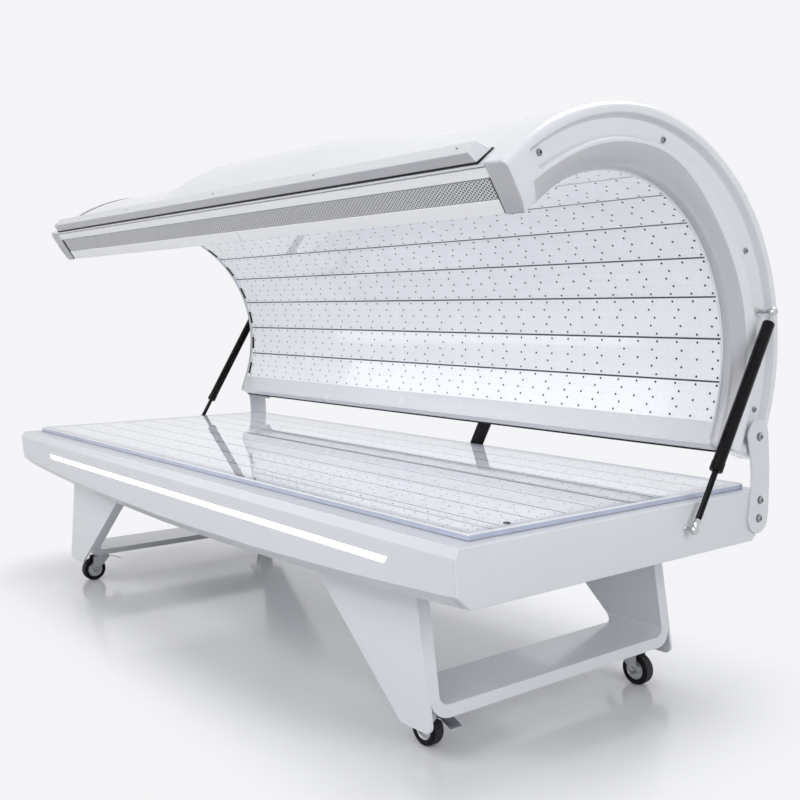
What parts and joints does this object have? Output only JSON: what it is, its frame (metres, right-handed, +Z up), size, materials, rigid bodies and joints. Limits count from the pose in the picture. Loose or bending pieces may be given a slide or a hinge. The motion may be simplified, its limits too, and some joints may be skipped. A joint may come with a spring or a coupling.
{
  "type": "red light therapy bed",
  "caption": "Clamshell light therapy bed: curved lid with rows of lights, hinged on gas struts over a clear acrylic deck, on legs with braked swivel casters.",
  "frame": {"origin": "on the floor below the middle of the whole outline, canopy open", "axes": "+X along the bed, +Y towards the hinge side, +Z up"},
  "size_m": [1.998, 0.8946, 1.1783],
  "materials": {
    "gloss_white_moulding": "gloss white moulded plastic",
    "white_sheet_metal": "gloss white powder coat",
    "white_extrusion": "white painted aluminium extrusion",
    "leg_white_paint": "satin white paint on aluminium plate",
    "clear_acrylic": "polished clear acrylic",
    "led_board_white": "glossy white board front with small light sources",
    "strip_diffuser": "white light diffuser",
    "perforated_alloy": "perforated bare aluminium",
    "gloss_black_paint": "gloss black paint",
    "bright_steel": "bright plated steel",
    "zinc_plated_steel": "zinc plated pressed steel",
    "black_rubber": "black rubber tyre on a grey hub",
    "supply_case": "plain metal case",
    "black_plastic": "matt black plastic"
  },
  "bodies": {
    "base": {"base_fascia": "white_sheet_metal", "base_rear_panel": "white_sheet_metal", "base_end_left": "gloss_white_moulding", "base_end_right": "gloss_white_moulding", "base_bottom_pan": "white_sheet_metal", "deck_rim": "white_extrusion", "deck_sheet": "clear_acrylic", "bed_led_board_1": "led_board_white", "bed_led_board_2": "led_board_white", "bed_led_board_3": "led_board_white", "light_strip": "strip_diffuser", "power_supply": "supply_case", "mains_inlet": "black_plastic", "leg_left": "leg_white_paint", "leg_right": "leg_white_paint", "hinge_plate_left": "white_sheet_metal", "hinge_plate_right": "white_sheet_metal", "base_stud_left": "bright_steel", "base_stud_right": "bright_steel", "cable_strap": "black_plastic", "caster_plate_front_left": "zinc_plated_steel", "caster_plate_front_right": "zinc_plated_steel", "caster_plate_rear_left": "zinc_plated_steel", "caster_plate_rear_right": "zinc_plated_steel"},
    "canopy": {"canopy_shell": "gloss_white_moulding", "canopy_cap_left": "gloss_white_moulding", "canopy_cap_right": "gloss_white_moulding", "canopy_led_board_1": "led_board_white", "canopy_led_board_2": "led_board_white", "canopy_led_board_3": "led_board_white", "canopy_led_board_4": "led_board_white", "canopy_led_board_5": "led_board_white", "canopy_led_board_6": "led_board_white", "canopy_led_board_7": "led_board_white", "canopy_led_board_8": "led_board_white", "canopy_led_board_9": "led_board_white", "canopy_led_board_10": "led_board_white", "canopy_led_board_11": "led_board_white", "front_panel": "white_extrusion", "front_grille": "perforated_alloy", "handle_bar": "white_extrusion", "rear_rail": "white_extrusion", "canopy_stud_left": "bright_steel", "canopy_stud_right": "bright_steel"},
    "strut_rod_left": {"strut_rod_left": "bright_steel"},
    "strut_cylinder_left": {"strut_cylinder_left": "gloss_black_paint"},
    "strut_rod_right": {"strut_rod_right": "bright_steel"},
    "strut_cylinder_right": {"strut_cylinder_right": "gloss_black_paint"},
    "caster_fork_front_left": {"caster_fork_front_left": "zinc_plated_steel"},
    "caster_wheel_front_left": {"caster_wheel_front_left": "black_rubber"},
    "caster_brake_front_left": {"caster_brake_front_left": "zinc_plated_steel"},
    "caster_fork_front_right": {"caster_fork_front_right": "zinc_plated_steel"},
    "caster_wheel_front_right": {"caster_wheel_front_right": "black_rubber"},
    "caster_brake_front_right": {"caster_brake_front_right": "zinc_plated_steel"},
    "caster_fork_rear_left": {"caster_fork_rear_left": "zinc_plated_steel"},
    "caster_wheel_rear_left": {"caster_wheel_rear_left": "black_rubber"},
    "caster_brake_rear_left": {"caster_brake_rear_left": "zinc_plated_steel"},
    "caster_fork_rear_right": {"caster_fork_rear_right": "zinc_plated_steel"},
    "caster_wheel_rear_right": {"caster_wheel_rear_right": "black_rubber"},
    "caster_brake_rear_right": {"caster_brake_rear_right": "zinc_plated_steel"}
  },
  "joints": [
    {"name": "canopy_hinge", "type": "hinge", "parent": "base", "child": "canopy", "pos_m": [0, 0.363, 0.537], "axis": [1, 0, 0], "range_deg": [0, 38], "deforming": ["cable_strap"]},
    {"name": "strut_swing_left", "type": "hinge", "parent": "base", "child": "strut_rod_left", "pos_m": [-0.988, 0.1358, 0.381], "axis": [1, 0, 0], "range_deg": [0, 17.6]},
    {"name": "strut_slide_left", "type": "slide", "parent": "strut_rod_left", "child": "strut_cylinder_left", "axis": [0, 0.5148, 0.8573], "range_m": [-0.1005, 0]},
    {"name": "strut_swing_right", "type": "hinge", "parent": "base", "child": "strut_rod_right", "pos_m": [0.988, 0.1358, 0.381], "axis": [1, 0, 0], "range_deg": [0, 17.6]},
    {"name": "strut_slide_right", "type": "slide", "parent": "strut_rod_right", "child": "strut_cylinder_right", "axis": [0, 0.5148, 0.8573], "range_m": [-0.1005, 0]},
    {"name": "caster_swivel_front_left", "type": "hinge", "parent": "base", "child": "caster_fork_front_left", "pos_m": [-0.7555, -0.2968, 0.0817], "axis": [0, 0, 1], "continuous": true},
    {"name": "caster_roll_front_left", "type": "hinge", "parent": "caster_fork_front_left", "child": "caster_wheel_front_left", "pos_m": [-0.7555, -0.3208, 0.0325], "axis": [1, 0, 0], "continuous": true},
    {"name": "brake_press_front_left", "type": "hinge", "parent": "caster_fork_front_left", "child": "caster_brake_front_left", "pos_m": [-0.7555, -0.2848, 0.06605], "axis": [-1, 0, 0], "range_deg": [0, 12]},
    {"name": "caster_swivel_front_right", "type": "hinge", "parent": "base", "child": "caster_fork_front_right", "pos_m": [0.7555, -0.2968, 0.0817], "axis": [0, 0, 1], "continuous": true},
    {"name": "caster_roll_front_right", "type": "hinge", "parent": "caster_fork_front_right", "child": "caster_wheel_front_right", "pos_m": [0.7315, -0.2968, 0.0325], "axis": [0, -1, 0], "continuous": true},
    {"name": "brake_press_front_right", "type": "hinge", "parent": "caster_fork_front_right", "child": "caster_brake_front_right", "pos_m": [0.7675, -0.2968, 0.06605], "axis": [0, 1, 0], "range_deg": [0, 12]},
    {"name": "caster_swivel_rear_left", "type": "hinge", "parent": "base", "child": "caster_fork_rear_left", "pos_m": [-0.7555, 0.2472, 0.0817], "axis": [0, 0, 1], "continuous": true},
    {"name": "caster_roll_rear_left", "type": "hinge", "parent": "caster_fork_rear_left", "child": "caster_wheel_rear_left", "pos_m": [-0.7315, 0.2472, 0.0325], "axis": [0, 1, 0], "continuous": true},
    {"name": "brake_press_rear_left", "type": "hinge", "parent": "caster_fork_rear_left", "child": "caster_brake_rear_left", "pos_m": [-0.7675, 0.2472, 0.06605], "axis": [0, -1, 0], "range_deg": [0, 12]},
    {"name": "caster_swivel_rear_right", "type": "hinge", "parent": "base", "child": "caster_fork_rear_right", "pos_m": [0.7555, 0.2472, 0.0817], "axis": [0, 0, 1], "continuous": true},
    {"name": "caster_roll_rear_right", "type": "hinge", "parent": "caster_fork_rear_right", "child": "caster_wheel_rear_right", "pos_m": [0.7795, 0.2472, 0.0325], "axis": [0, 1, 0], "continuous": true},
    {"name": "brake_press_rear_right", "type": "hinge", "parent": "caster_fork_rear_right", "child": "caster_brake_rear_right", "pos_m": [0.7435, 0.2472, 0.06605], "axis": [0, -1, 0], "range_deg": [0, 12]}
  ],
  "couplings": [
    {"joint": "strut_swing_left", "follows": "canopy_hinge", "ratio": 0.46176},
    {"joint": "strut_slide_left", "follows": "canopy_hinge", "m_per_rad": -0.15101},
    {"joint": "strut_swing_right", "follows": "canopy_hinge", "ratio": 0.46176},
    {"joint": "strut_slide_right", "follows": "canopy_hinge", "m_per_rad": -0.15101}
  ]
}
